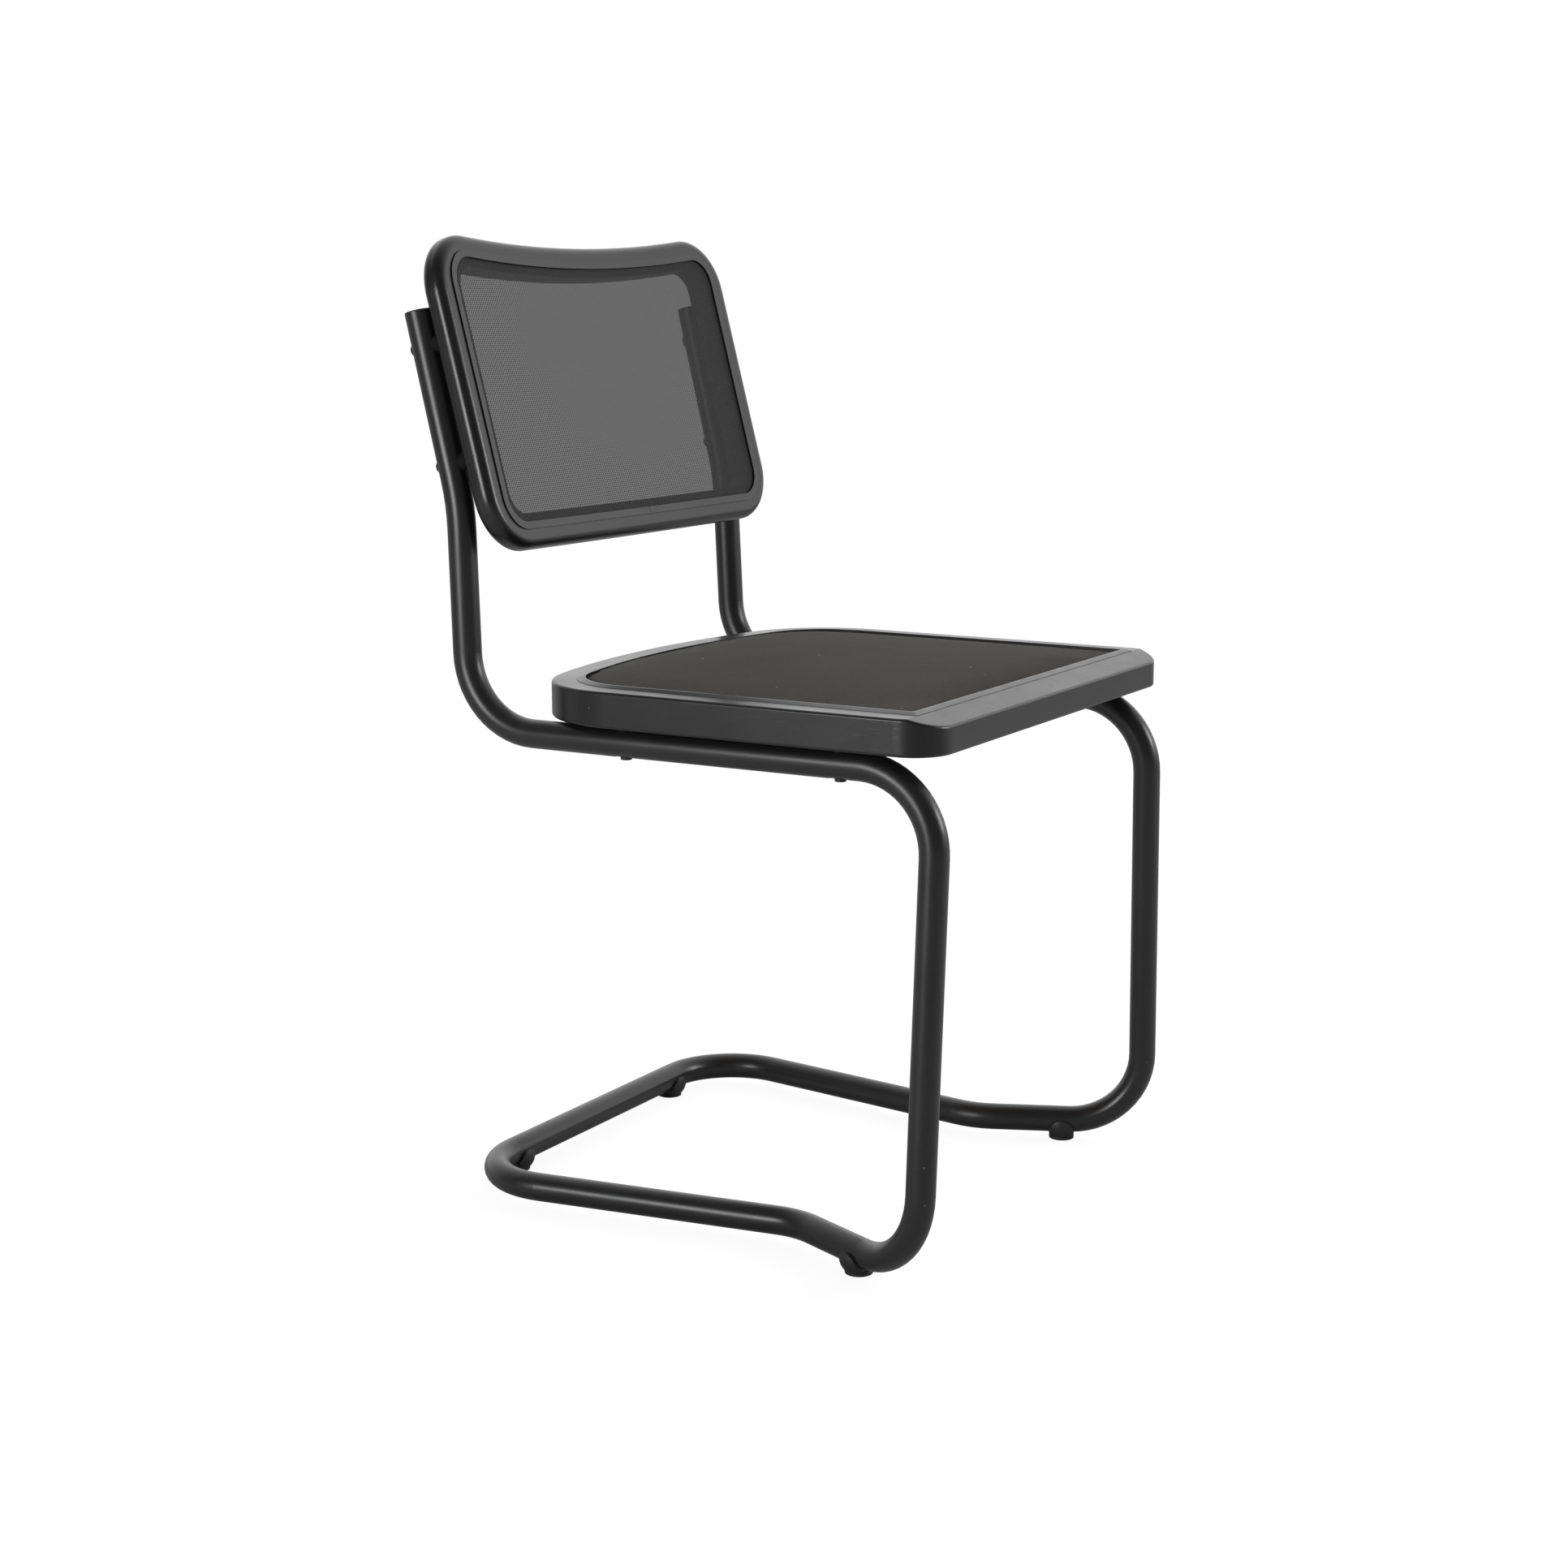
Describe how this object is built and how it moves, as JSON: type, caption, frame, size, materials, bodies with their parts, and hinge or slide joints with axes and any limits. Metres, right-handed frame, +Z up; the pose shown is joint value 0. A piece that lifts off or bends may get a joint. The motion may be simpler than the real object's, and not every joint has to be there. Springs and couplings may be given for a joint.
{
  "type": "cantilever chair",
  "caption": "Cantilever dining chair: bent black steel tube, black wooden seat frame with padded twill seat, slightly concave wooden back frame with open net.",
  "frame": {"origin": "on the floor, under the middle of the chair's overall box", "axes": "+Z up; the sitter faces -Y, the backrest is on the +Y side; +X is the side of the right upright as seen from in front of the sitter looking along +Y"},
  "size_m": [0.4934, 0.5244, 0.8551],
  "materials": {
    "black_tube": "satin black powder coat",
    "black_wood": "black stain and satin lacquer on beech, fine pores",
    "seat_twill": "dense grey-brown twill",
    "foam": "upholstery foam",
    "plywood": "sanded plywood",
    "spline_black": "matt black pressed-in spline",
    "back_net": "open black net",
    "glide_plastic": "satin black plastic",
    "glide_pad": "matt dark pad",
    "screw_steel": "blackened steel",
    "brass_insert": "turned brass",
    "dowel_wood": "plain beech"
  },
  "bodies": {
    "root": {"tube_frame": "black_tube", "upright_plug_left": "glide_plastic", "upright_plug_right": "glide_plastic", "glide_front_left": "glide_plastic", "glide_front_right": "glide_plastic", "glide_rear_left": "glide_plastic", "glide_rear_right": "glide_plastic", "glide_pads": "glide_pad", "seat_front_rail": "black_wood", "seat_side_rail_left": "black_wood", "seat_side_rail_right": "black_wood", "seat_rear_rail": "black_wood", "seat_dowels": "dowel_wood", "seat_panel": "plywood", "panel_screws": "screw_steel", "seat_foam": "foam", "seat_cover": "seat_twill", "seat_spline": "spline_black", "seat_spacers": "glide_plastic", "seat_screws": "screw_steel", "seat_inserts": "brass_insert", "back_top_rail": "black_wood", "back_bottom_rail": "black_wood", "back_stile_left": "black_wood", "back_stile_right": "black_wood", "back_dowels": "dowel_wood", "back_mesh": "back_net", "back_spline": "spline_black", "back_spacers": "glide_plastic", "back_screws": "screw_steel", "back_inserts": "brass_insert"}
  },
  "joints": []
}
